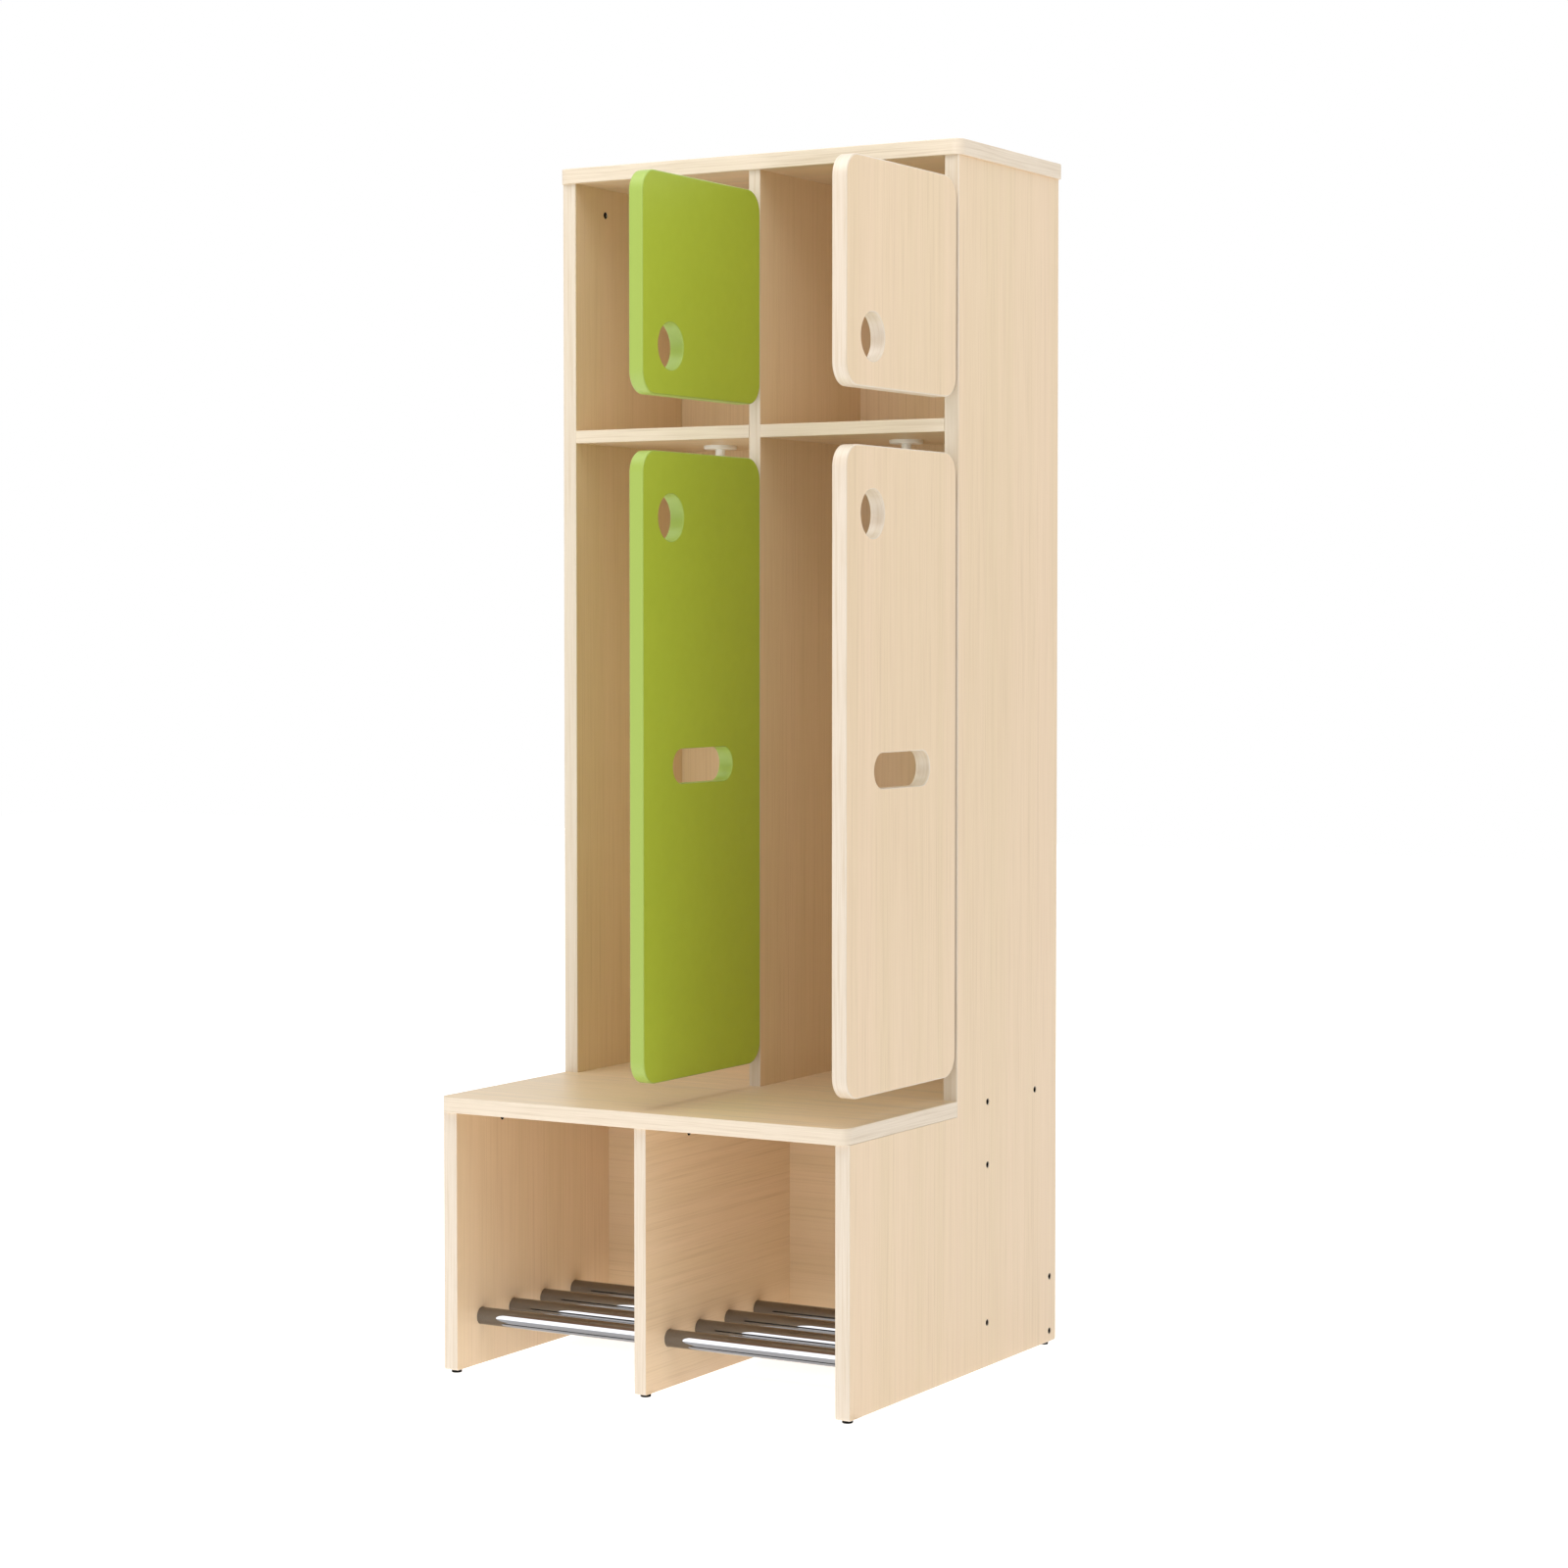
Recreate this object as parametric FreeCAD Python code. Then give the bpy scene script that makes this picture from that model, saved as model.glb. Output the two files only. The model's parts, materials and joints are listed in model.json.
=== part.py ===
import FreeCAD
import Part
import math
import os

V = FreeCAD.Vector
ALONG_X = V(1, 0, 0)
ALONG_Y = V(0, 1, 0)
ALONG_Z = V(0, 0, 1)

# Boards, in millimetres
board = 18.0
thin_board = 15.0
back_board = 4.0
edge_round = 1.0
panel_corner = 3.0

# The unit over all, heights from the floor
unit_width = 530.0
side_depth = 505.0
upper_depth = 256.0
unit_height = 1396.5
seat_height = 318.5
upper_bay_height = 292.5
foot_height = 4.0
bench_overhang = 8.0
top_overhang = 4.0
front_corner = 12.0
shoe_back_setback = 68.5
back_recess = 13.0
groove_depth = 6.0
groove_clearance = 0.6
rail_height = 91.0
rail_inset = 9.0

# Doors and their cut-outs
door_gap = 3.3
door_meeting_gap = 2.5
door_overlay = 17.0
lower_sill_gap = 29.5
lower_head_gap = 25.0
upper_sill_gap = 21.5
upper_head_gap = 26.0
door_corner = 25.0
door_round = 1.8
rim_round = 1.0
finger_diameter = 53.0
finger_inset = 58.5
upper_finger_rise = 54.5
lower_finger_drop = 73.0
slot_length = 128.0
slot_height = 39.0

# Cup hinges
cup_diameter = 35.0
cup_edge = 4.0
cup_wall = 1.5
cup_floor = 0.8
cup_clearance = 0.1
flange_thickness = 1.0
flange_rim = 0.8
wing_half_length = 27.0
wing_width = 14.0
wing_corner_share = 1 / 3
wing_offset = 9.5
cup_screw_half_spacing = 22.5
cup_screw_radius = 1.8
cup_screw_length = 12.0
cup_screw_head_radius = 3.4
cup_screw_head = 1.2
pin_radius = 1.3
pin_clearance = 0.1
knuckle_radius = 2.6
knuckle_clearance = 0.4
arm_clearance = 0.8
neck_thickness = 2.4
neck_half_width = 4.0
arm_height = 6.0
arm_half_width = 7.0
arm_setback = 4.0
arm_length = 62.0
plate_setback = 37.0
plate_wing_half_width = 7.0
plate_wing_half_length = 25.0
plate_screw_half_spacing = 16.0
plate_screw_radius = 2.4
plate_screw_depth = 10.0
plate_screw_head_radius = 4.2
plate_screw_head = 1.6
hinge_edge_round = 1.0
upper_hinge_inset = 60.0
lower_hinge_inset = 90.0

# Shoe bars
bar_diameter = 20.0
bar_wall = 1.5
bar_count = 4
bar_front_inset = 49.5
bar_rear_inset = 74.2
bar_rise = 55.5
bar_socket = 8.0
bar_clearance = 0.2

# Long screws through the side panels
screw_radius = 2.5
screw_length = 46.0
screw_head_radius = 3.7
screw_head = 4.0
screw_recess = 1.0
screw_key_radius = 2.0
screw_key_depth = 2.5
screw_clearance = 0.15
bench_screw_inset = 57.5
shoe_back_screw_rise = 51.0
shoe_back_screw_drop = 63.5
rail_screw_inset = 13.0
divider_screw_rise = 70.0
divider_screw_drop = 60.0

# Barrel nuts with their bolts, and dowels
nut_radius = 4.0
nut_length = 12.0
nut_recess = 0.5
nut_slot_width = 1.4
nut_slot_depth = 1.5
bolt_radius = 2.5
bolt_from_face = 7.5
bolt_anchor = 11.0
bolt_past_nut = 4.0
top_nut_drop = 31.0
bench_nut_drop = 15.5
top_nut_inset = 65.0
bench_nut_inset = 92.0
dowel_radius = 4.0
dowel_in_face = 10.0
dowel_in_edge = 20.0
bench_dowel_setback = 39.0
divider_dowel_inset = 50.0
shelf_dowel_inset = 55.0
fit_clearance = 0.15

# Coat hooks
hook_from_back = 105.0
hook_flange_radius = 20.0
hook_flange = 4.5
hook_flange_round = 1.5
hook_stem_radius = 6.0
hook_drop = 42.0
hook_arm_radius = 4.5
hook_bend_radius = 15.0
hook_ball_radius = 6.5
stud_radius = 2.0
stud_in_shelf = 11.0
stud_in_hook = 15.0

# Foot glides
glide_radius = 6.0
glide_round = 1.0
glide_front_inset = 12.0
glide_rear_inset = 15.0
glide_pin_radius = 1.5
glide_pin_length = 10.0

# How far a cutter runs past the face it opens
overrun = 5.0

# Places worked out from the sizes above
half_width = unit_width / 2
side_inner = half_width - board
divider_half = thin_board / 2
rear = (side_depth + bench_overhang) / 2
low_front = rear - side_depth
up_front = rear - upper_depth
bench_front = low_front - bench_overhang
panel_bottom = foot_height
bench_under = seat_height - board
top_under = unit_height - board
shelf_height = top_under - upper_bay_height
shelf_under = shelf_height - thin_board
back_rear = rear - back_recess
back_front = back_rear - back_board
shoe_back_front = up_front + shoe_back_setback
shoe_back_middle = shoe_back_front + thin_board / 2
shoe_back_rear = shoe_back_front + thin_board
rail_rear = rear - rail_inset
rail_middle = rail_rear - thin_board / 2
bench_middle = seat_height - board / 2
shelf_middle = shelf_height - thin_board / 2
bay_width = side_inner - divider_half
bay_middle = (side_inner + divider_half) / 2
door_width = bay_width + thin_board - door_meeting_gap
door_end = up_front - door_gap
door_free = door_end - door_width
cup_radius = cup_diameter / 2
hollow_radius = cup_radius - cup_wall
cup_hollow = board / 2 + knuckle_radius + knuckle_clearance
cup_depth = cup_hollow + cup_floor
cup_from_axis = cup_edge + cup_radius - board / 2
axis_back = door_end - board / 2
plate_thickness = board - door_overlay + flange_thickness + arm_clearance
bar_radius = bar_diameter / 2


def box(x0, x1, y0, y1, z0, z1):
    """A block between two values on each axis."""
    return Part.makeBox(x1 - x0, y1 - y0, z1 - z0, V(x0, y0, z0))


def rod(radius, length, start, direction):
    """A round bar from a point along a direction."""
    return Part.makeCylinder(radius, length, start, direction)


def outline(points, radii, place):
    """A closed wire through flat points, each corner rounded by its own radius."""
    starts = []
    ends = []
    edges = []
    count = len(points)
    for i in range(count):
        corner = V(points[i][0], points[i][1], 0)
        before = V(points[i - 1][0], points[i - 1][1], 0) - corner
        after = V(points[(i + 1) % count][0], points[(i + 1) % count][1], 0) - corner
        before.normalize()
        after.normalize()
        half = before.getAngle(after) / 2
        reach = radii[i] / math.tan(half)
        starts.append(corner + before * reach)
        ends.append(corner + after * reach)
        if radii[i] > 0:
            middle = before + after
            middle.normalize()
            crown = corner + middle * (radii[i] / math.sin(half) - radii[i])
            arc = [place(p.x, p.y) for p in (starts[i], crown, ends[i])]
            edges.append(Part.Arc(arc[0], arc[1], arc[2]).toShape())
    for i in range(count):
        follow = starts[(i + 1) % count]
        edges.append(Part.LineSegment(place(ends[i].x, ends[i].y), place(follow.x, follow.y)).toShape())
    return Part.Wire(Part.__sortEdges__(edges))


def same(a, b):
    """True where two lengths agree."""
    return abs(a - b) < edge_round / 1000


def flat_on(edge, axis, values):
    """True where an edge lies in one of the planes across an axis."""
    spread = [getattr(v.Point, axis) for v in edge.Vertexes]
    return any(all(same(s, value) for s in spread) for value in values)


def soften(solid, radius, wanted):
    """Round the edges that a test picks."""
    return solid.makeFillet(radius, [e for e in solid.Edges if wanted(e)])


def cut_all(solid, tools):
    """Cut a list of tools out of a solid."""
    return solid.cut(Part.makeCompound(tools)) if tools else solid


def write(name, solids):
    """Write one node, a single solid or a group of separate ones."""
    shape = solids[0] if len(solids) == 1 else Part.makeCompound(solids)
    shape.exportStep("parts/" + name + ".step")
    print(name, len(shape.Solids), "solid", round(shape.Volume / 1000, 2), "cm3", shape.isValid())


def long_screw(seat, direction):
    """A screw whose head sits below the surface at seat, driven along direction."""
    top = seat + direction * screw_recess
    head = rod(screw_head_radius, screw_head, top, direction)
    shank = rod(screw_radius, screw_length, top + direction * screw_head, direction)
    key = rod(screw_key_radius, screw_key_depth + overrun, top - direction * overrun, direction)
    return head.fuse(shank).removeSplitter().cut(key)


def long_screw_bore(seat, direction):
    """The stepped bore that takes a long screw."""
    wide = screw_head_radius + screw_clearance
    narrow = screw_radius + screw_clearance
    step = screw_recess + screw_head
    mouth = rod(wide, step + overrun, seat - direction * overrun, direction)
    return mouth.fuse(rod(narrow, step + screw_length, seat, direction))


def screw_seats():
    """Places of the side screws as (y, z): bench board, shoe back, rear rail."""
    return [
        (shoe_back_middle, bench_middle),
        (rear - bench_screw_inset, bench_middle),
        (shoe_back_middle, panel_bottom + shoe_back_screw_rise),
        (shoe_back_middle, bench_under - shoe_back_screw_drop),
        (rail_middle, panel_bottom + rail_screw_inset),
        (rail_middle, panel_bottom + rail_height - rail_screw_inset),
    ]


def side_screw_places(side):
    """Seat and direction of each screw in the left (-1) or right (1) side panel."""
    return [(V(side * half_width, y, z), ALONG_X * -side) for y, z in screw_seats()]


def divider_screw_places():
    """Screws from behind the shoe bay back panel into the lower divider."""
    heights = (panel_bottom + divider_screw_rise, bench_under - divider_screw_drop)
    return [(V(0, shoe_back_rear, z), ALONG_Y * -1) for z in heights]


def joint_faces():
    """Panels under the top and bench: inner face x and the way into the panel."""
    return [(-side_inner, -1), (side_inner, 1), (-divider_half, 1)]


def top_joint_places():
    """Barrel nuts under the top board: face point and the way into the panel."""
    backs = (up_front + top_nut_inset, back_front - top_nut_inset)
    return [(V(x, y, top_under - top_nut_drop), way) for x, way in joint_faces() for y in backs]


def bench_joint_places():
    """Barrel nuts under the bench board, one in each lower panel."""
    z = bench_under - bench_nut_drop
    faces = [(-side_inner, -1), (side_inner, 1), (divider_half, -1)]
    return [(V(x, low_front + bench_nut_inset, z), way) for x, way in faces]


def joint_bolt(place, way, drop):
    """The upright bolt of one joint, from the board above down through the nut."""
    foot = place + V(way * bolt_from_face, 0, -bolt_past_nut)
    return rod(bolt_radius, bolt_past_nut + drop + bolt_anchor, foot, ALONG_Z)


def joint_bolt_bore(place, way, drop):
    """The bore for one joint bolt."""
    foot = place + V(way * bolt_from_face, 0, -bolt_past_nut)
    return rod(bolt_radius + fit_clearance, bolt_past_nut + drop + bolt_anchor, foot, ALONG_Z)


def barrel_nut(place, way):
    """A slotted cross nut set just below the panel's inner face."""
    start = place + V(way * nut_recess, 0, 0)
    nut = rod(nut_radius, nut_length, start, ALONG_X * way)
    hole = rod(bolt_radius + fit_clearance, 2 * nut_radius + 2 * overrun,
               place + V(way * bolt_from_face, 0, -nut_radius - overrun), ALONG_Z)
    slot_start = place.x + way * nut_recess
    slot_end = slot_start + way * nut_slot_depth
    slot = box(min(slot_start, slot_end), max(slot_start, slot_end),
               place.y - nut_radius, place.y + nut_radius,
               place.z - nut_slot_width / 2, place.z + nut_slot_width / 2)
    return nut.cut(hole).cut(slot)


def barrel_nut_bore(place, way):
    """The blind bore for a barrel nut, open at the panel's inner face."""
    start = place - V(way * overrun, 0, 0)
    return rod(nut_radius + fit_clearance, overrun + nut_recess + nut_length, start, ALONG_X * way)


def dowel_places():
    """Bottom or inner end and direction of each short dowel."""
    upright = dowel_in_edge
    rows = []
    for x in (-half_width + board / 2, 0, half_width - board / 2):
        rows.append((V(x, up_front - bench_dowel_setback, bench_under - upright), ALONG_Z))
        rows.append((V(x, (up_front + back_front) / 2, top_under - upright), ALONG_Z))
    for y in (up_front + divider_dowel_inset, back_front - divider_dowel_inset):
        rows.append((V(0, y, seat_height - dowel_in_face), ALONG_Z))
    for y in shelf_dowel_backs():
        rows.append((V(-side_inner - dowel_in_face, y, shelf_middle), ALONG_X))
        rows.append((V(side_inner + dowel_in_face, y, shelf_middle), ALONG_X * -1))
    return rows


def shelf_dowel_backs():
    """Front and rear place of the dowels in a shelf's end."""
    return (up_front + shelf_dowel_inset, back_front - shelf_dowel_inset)


def dowel(place, direction, extra):
    """A plain dowel, or with extra clearance its bore."""
    return rod(dowel_radius + extra, dowel_in_face + dowel_in_edge, place, direction)


def through_dowel(y, extra):
    """A dowel through the upper divider into both shelves."""
    length = thin_board + 2 * dowel_in_edge
    return rod(dowel_radius + extra, length, V(-length / 2, y, shelf_middle), ALONG_X)


def dowel_bores():
    """Bores for every dowel."""
    bores = [dowel(p, d, fit_clearance) for p, d in dowel_places()]
    return bores + [through_dowel(y, fit_clearance) for y in shelf_dowel_backs()]


def bar_places():
    """Middle line of each shoe bar as (y, z)."""
    z = panel_bottom + bar_rise
    first = low_front + bar_front_inset
    pitch = (shoe_back_front - bar_rear_inset - first) / (bar_count - 1)
    return [(first + i * pitch, z) for i in range(bar_count)]


def bar(y, z, radius):
    """A full-length round bar between the two side panels' sockets."""
    reach = side_inner + bar_socket
    return rod(radius, 2 * reach, V(-reach, y, z), ALONG_X)


def shoe_bar(y, z):
    """One chromed tube."""
    return bar(y, z, bar_radius).cut(bar(y, z, bar_radius - bar_wall))


def glide_places():
    """Middle of each glide as (x, y)."""
    sides = half_width - board / 2
    front = low_front + glide_front_inset
    return [(-sides, front), (-sides, rear - glide_rear_inset), (0, front),
            (0, shoe_back_front - glide_rear_inset), (sides, front), (sides, rear - glide_rear_inset)]


def glide(x, y):
    """A round foot with its pin driven into the panel's lower edge."""
    pad = rod(glide_radius, foot_height, V(x, y, 0), ALONG_Z)
    pad = soften(pad, glide_round, lambda e: flat_on(e, "z", [0]))
    pin = rod(glide_pin_radius, glide_pin_length, V(x, y, foot_height), ALONG_Z)
    return pad.fuse(pin).removeSplitter()


def glide_bores():
    """Bores for the glides' pins."""
    radius = glide_pin_radius + fit_clearance
    return [rod(radius, glide_pin_length, V(x, y, panel_bottom), ALONG_Z) for x, y in glide_places()]


def hook_places():
    """Middle of each hook's flange on the shelf's underside."""
    return [V(side * bay_middle, back_front - hook_from_back, shelf_under) for side in (-1, 1)]


def hook_stud(place, extra):
    """The stud from a hook up into its shelf, or with extra clearance its bore."""
    return rod(stud_radius + extra, stud_in_hook + stud_in_shelf, place - V(0, 0, stud_in_hook), ALONG_Z)


def coat_hook(place):
    """A flange, a stem and two upturned arms with ball ends."""
    flange = rod(hook_flange_radius, hook_flange, place, ALONG_Z * -1)
    flange = soften(flange, hook_flange_round, lambda e: flat_on(e, "z", [place.z - hook_flange]))
    low = place - V(0, 0, hook_drop)
    body = flange.fuse(rod(hook_stem_radius, hook_drop, place, ALONG_Z * -1))
    body = body.fuse(Part.makeSphere(hook_stem_radius, low))
    for side in (-1, 1):
        ring = Part.Face(Part.Wire([Part.makeCircle(hook_arm_radius, low, ALONG_Z)]))
        turn = low + V(side * hook_bend_radius, 0, 0)
        body = body.fuse(ring.revolve(turn, ALONG_Y * -side, 180))
        body = body.fuse(Part.makeSphere(hook_ball_radius, low + V(side * 2 * hook_bend_radius, 0, 0)))
    return body.removeSplitter().cut(hook_stud(place, fit_clearance))


def doors():
    """Name, bay's right-hand face x, sill z, head z, hinge inset and finger hole z of each door."""
    low = (seat_height + lower_sill_gap, shelf_under - lower_head_gap)
    high = (shelf_height + upper_sill_gap, top_under - upper_head_gap)
    rows = []
    for side, face in (("left", -divider_half), ("right", side_inner)):
        upper_finger = high[0] + upper_finger_rise
        lower_finger = low[1] - lower_finger_drop
        rows.append(("upper_" + side, face, high[0], high[1], upper_hinge_inset, upper_finger))
        rows.append(("lower_" + side, face, low[0], low[1], lower_hinge_inset, lower_finger))
    return rows


def hinge_places(face, sill, head, inset):
    """Axis point of the two hinges of a door."""
    x = face + door_overlay - board / 2
    return [V(x, axis_back, z) for z in (sill + inset, head - inset)]


def door_panel(face, sill, head, inset, finger_z, slotted):
    """One door standing open, with its finger hole, its slot and its cup bores."""
    outer = face + door_overlay
    inner = outer - board
    points = [(door_free, sill), (door_end, sill), (door_end, head), (door_free, head)]
    wire = outline(points, [door_corner] * len(points), lambda y, z: V(inner, y, z))
    panel = Part.Face(wire).extrude(V(board, 0, 0))
    panel = soften(panel, door_round, lambda e: flat_on(e, "x", [inner, outer]))
    start = inner - overrun
    length = board + 2 * overrun
    tools = [rod(finger_diameter / 2, length, V(start, door_free + finger_inset, finger_z), ALONG_X)]
    if slotted:
        tools.append(slot_cutter(start, length, (door_free + door_end) / 2, (sill + head) / 2))
    panel = cut_all(panel, tools)

    def is_rim(e):
        in_cut_out = any(tool.BoundBox.isInside(e.CenterOfMass) for tool in tools)
        return in_cut_out and flat_on(e, "x", [inner, outer])

    panel = soften(panel, rim_round, is_rim)
    bores = []
    for axis in hinge_places(face, sill, head, inset):
        bores.append(rod(cup_radius, cup_depth + overrun, cup_middle(axis) - ALONG_X * overrun, ALONG_X))
        for place in cup_screw_places(axis):
            bores.append(rod(cup_screw_radius + fit_clearance, cup_screw_length, place, ALONG_X))
    return cut_all(panel, bores)


def slot_cutter(x, length, y, z):
    """A level slot with round ends."""
    up = slot_height / 2
    across = slot_length / 2 - up
    middle = box(x, x + length, y - across, y + across, z - up, z + up)
    ends = [rod(up, length, V(x, y + s * across, z), ALONG_X) for s in (-1, 1)]
    return middle.fuse(ends[0]).fuse(ends[1]).removeSplitter()


def cup_middle(axis):
    """Middle of a cup's mouth on the door's inner face."""
    return axis + V(-board / 2, -cup_from_axis, 0)


def cup_screw_places(axis):
    """Middle of each cup screw on the door's inner face."""
    return [cup_middle(axis) + V(0, -wing_offset, s * cup_screw_half_spacing) for s in (-1, 1)]


def hinge_cup(axis):
    """A drawn cup with its winged flange and the pin that the arm turns on."""
    mouth = cup_middle(axis)
    cup = rod(cup_radius - cup_clearance, cup_depth, mouth, ALONG_X)
    rim = rod(cup_radius + flange_rim, flange_thickness, mouth, ALONG_X * -1)
    y = mouth.y - wing_offset
    wing = box(mouth.x - flange_thickness, mouth.x, y - wing_width / 2, y + wing_width / 2,
               axis.z - wing_half_length, axis.z + wing_half_length)
    wing = soften(wing, wing_width * wing_corner_share, lambda e: same(e.Length, flange_thickness))
    body = cup.fuse(rim).fuse(wing).removeSplitter()
    hollow = rod(hollow_radius, cup_hollow + flange_thickness + overrun,
                 mouth - V(flange_thickness + overrun, 0, 0), ALONG_X)
    body = body.cut(hollow)
    for place in cup_screw_places(axis):
        body = body.cut(rod(cup_screw_radius + fit_clearance, flange_thickness + overrun,
                            place - V(flange_thickness, 0, 0), ALONG_X))
    reach = math.sqrt(hollow_radius ** 2 - cup_from_axis ** 2) + cup_wall / 2
    return body.fuse(rod(pin_radius, 2 * reach, axis - V(0, 0, reach), ALONG_Z)).removeSplitter()


def cup_screw(place):
    """A short screw through the flange's wing into the door."""
    top = place - V(flange_thickness, 0, 0)
    head = rod(cup_screw_head_radius, cup_screw_head, top, ALONG_X * -1)
    shank = rod(cup_screw_radius, cup_screw_length + flange_thickness, top, ALONG_X)
    return head.fuse(shank).removeSplitter()


def hinge_arm(axis, face):
    """An arm on its plate, with a cranked neck that ends in a knuckle on the cup's pin."""
    seat = face - plate_thickness
    front = up_front + arm_setback
    bar_body = box(seat - arm_height, seat, front, front + arm_length,
                   axis.z - arm_half_width, axis.z + arm_half_width)
    bar_body = soften(bar_body, hinge_edge_round, lambda e: flat_on(e, "x", [seat - arm_height]))
    neck_low = axis.z - neck_half_width
    neck_high = axis.z + neck_half_width
    half = neck_thickness / 2
    cross = box(seat - neck_thickness, axis.x, axis.y - half, axis.y + half, neck_low, neck_high)
    rise = box(seat - neck_thickness, seat, axis.y - half, front + arm_setback, neck_low, neck_high)
    eye = rod(knuckle_radius, 2 * neck_half_width, V(axis.x, axis.y, neck_low), ALONG_Z)
    arm = bar_body.fuse(rise).fuse(cross).fuse(eye).removeSplitter()
    return arm.cut(rod(pin_radius + pin_clearance, 2 * neck_half_width + 2 * overrun,
                       V(axis.x, axis.y, neck_low - overrun), ALONG_Z))


def hinge_plate(axis, face):
    """A cross-shaped mounting plate on the panel beside the door."""
    front = up_front + arm_setback
    middle = up_front + plate_setback
    spine = box(face - plate_thickness, face, front, front + arm_length,
                axis.z - arm_half_width, axis.z + arm_half_width)
    wings = box(face - plate_thickness, face, middle - plate_wing_half_width, middle + plate_wing_half_width,
                axis.z - plate_wing_half_length, axis.z + plate_wing_half_length)
    plate = spine.fuse(wings).removeSplitter()
    radius = plate_screw_radius + fit_clearance
    holes = [rod(radius, plate_thickness + 2 * overrun, p - V(overrun, 0, 0), ALONG_X)
             for p in plate_screw_places(axis, face)]
    return cut_all(plate, holes)


def plate_screw_places(axis, face):
    """Middle of each plate screw on the plate's outer face."""
    x = face - plate_thickness
    y = up_front + plate_setback
    return [V(x, y, axis.z + s * plate_screw_half_spacing) for s in (-1, 1)]


def plate_screw(place):
    """A screw that holds a mounting plate to its panel."""
    head = rod(plate_screw_head_radius, plate_screw_head, place, ALONG_X * -1)
    shank = rod(plate_screw_radius, plate_thickness + plate_screw_depth, place, ALONG_X)
    return head.fuse(shank).removeSplitter()


def plate_screw_bores(face):
    """Bores for the plate screws of every hinge on one panel face."""
    radius = plate_screw_radius + fit_clearance
    bores = []
    for name, door_face, sill, head, inset, finger_z in doors():
        if same(door_face, face):
            for axis in hinge_places(face, sill, head, inset):
                for place in plate_screw_places(axis, face):
                    bores.append(rod(radius, plate_thickness + plate_screw_depth, place, ALONG_X))
    return bores


def joint_bores():
    """Bores for every barrel nut and joint bolt."""
    bores = []
    for places, drop in ((top_joint_places(), top_nut_drop), (bench_joint_places(), bench_nut_drop)):
        for place, way in places:
            bores.append(barrel_nut_bore(place, way))
            bores.append(joint_bolt_bore(place, way, drop))
    return bores


def back_groove():
    """The groove that takes the wardrobe back panel on all four sides."""
    reach = side_inner + groove_depth
    return box(-reach, reach, back_front - groove_clearance, back_rear + groove_clearance,
               seat_height - groove_depth, top_under + groove_depth)


def side_panel(side):
    """One stepped side panel: full depth below the bench, shallower above it."""
    points = [(rear, panel_bottom), (low_front, panel_bottom), (low_front, bench_under),
              (up_front, bench_under), (up_front, top_under), (rear, top_under)]
    radii = [panel_corner, panel_corner, 0, 0, 0, 0]
    inner = side * side_inner
    wire = outline(points, radii, lambda y, z: V(inner, y, z))
    panel = Part.Face(wire).extrude(V(side * board, 0, 0))

    def is_free_edge(e):
        level = flat_on(e, "z", [bench_under, top_under])
        return flat_on(e, "x", [inner, side * half_width]) and not level

    panel = soften(panel, edge_round, is_free_edge)
    tools = [long_screw_bore(seat, d) for seat, d in side_screw_places(side)]
    tools += [bar(y, z, bar_radius + bar_clearance) for y, z in bar_places()]
    tools += joint_bores() + dowel_bores() + glide_bores() + [back_groove()]
    if side > 0:
        tools += plate_screw_bores(side_inner)
    return cut_all(panel, tools)


def top_board():
    """The board over the sides, with rounded front corners."""
    across = half_width + top_overhang
    front = up_front - top_overhang
    points = [(-across, front), (across, front), (across, rear), (-across, rear)]
    radii = [front_corner, front_corner, panel_corner, panel_corner]
    wire = outline(points, radii, lambda x, y: V(x, y, top_under))
    solid = Part.Face(wire).extrude(V(0, 0, board))
    solid = soften(solid, edge_round, lambda e: flat_on(e, "z", [top_under, unit_height]))
    return cut_all(solid, joint_bores() + dowel_bores() + [back_groove()])


def bench_board():
    """The seat in front, running back between the sides as the wardrobe floor."""
    points = [(-half_width, bench_front), (half_width, bench_front),
              (half_width, up_front), (side_inner, up_front), (side_inner, rear),
              (-side_inner, rear), (-side_inner, up_front), (-half_width, up_front)]
    radii = [front_corner, front_corner, 0, 0, 0, 0, 0, 0]
    wire = outline(points, radii, lambda x, y: V(x, y, bench_under))
    solid = Part.Face(wire).extrude(V(0, 0, board))

    def is_front_edge(e):
        return flat_on(e, "z", [bench_under, seat_height]) and e.CenterOfMass.y < up_front - edge_round

    solid = soften(solid, edge_round, is_front_edge)
    tools = [long_screw_bore(seat, d) for side in (-1, 1) for seat, d in side_screw_places(side)]
    return cut_all(solid, tools + joint_bores() + dowel_bores() + [back_groove()])


def upper_divider():
    """The board between the two wardrobe bays."""
    solid = box(-divider_half, divider_half, up_front, back_front, seat_height, top_under)

    def is_front_edge(e):
        level = flat_on(e, "z", [seat_height, top_under])
        return flat_on(e, "y", [up_front]) and not level

    solid = soften(solid, edge_round, is_front_edge)
    return cut_all(solid, joint_bores() + dowel_bores() + plate_screw_bores(-divider_half))


def lower_divider():
    """The board between the two shoe bays."""
    solid = box(-divider_half, divider_half, low_front, shoe_back_front, panel_bottom, bench_under)

    def is_front_edge(e):
        return flat_on(e, "y", [low_front]) and not flat_on(e, "z", [bench_under])

    solid = soften(solid, edge_round, is_front_edge)
    tools = [bar(y, z, bar_radius + bar_clearance) for y, z in bar_places()]
    tools += [long_screw_bore(seat, d) for seat, d in divider_screw_places()]
    return cut_all(solid, tools + joint_bores() + dowel_bores() + glide_bores())


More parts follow.
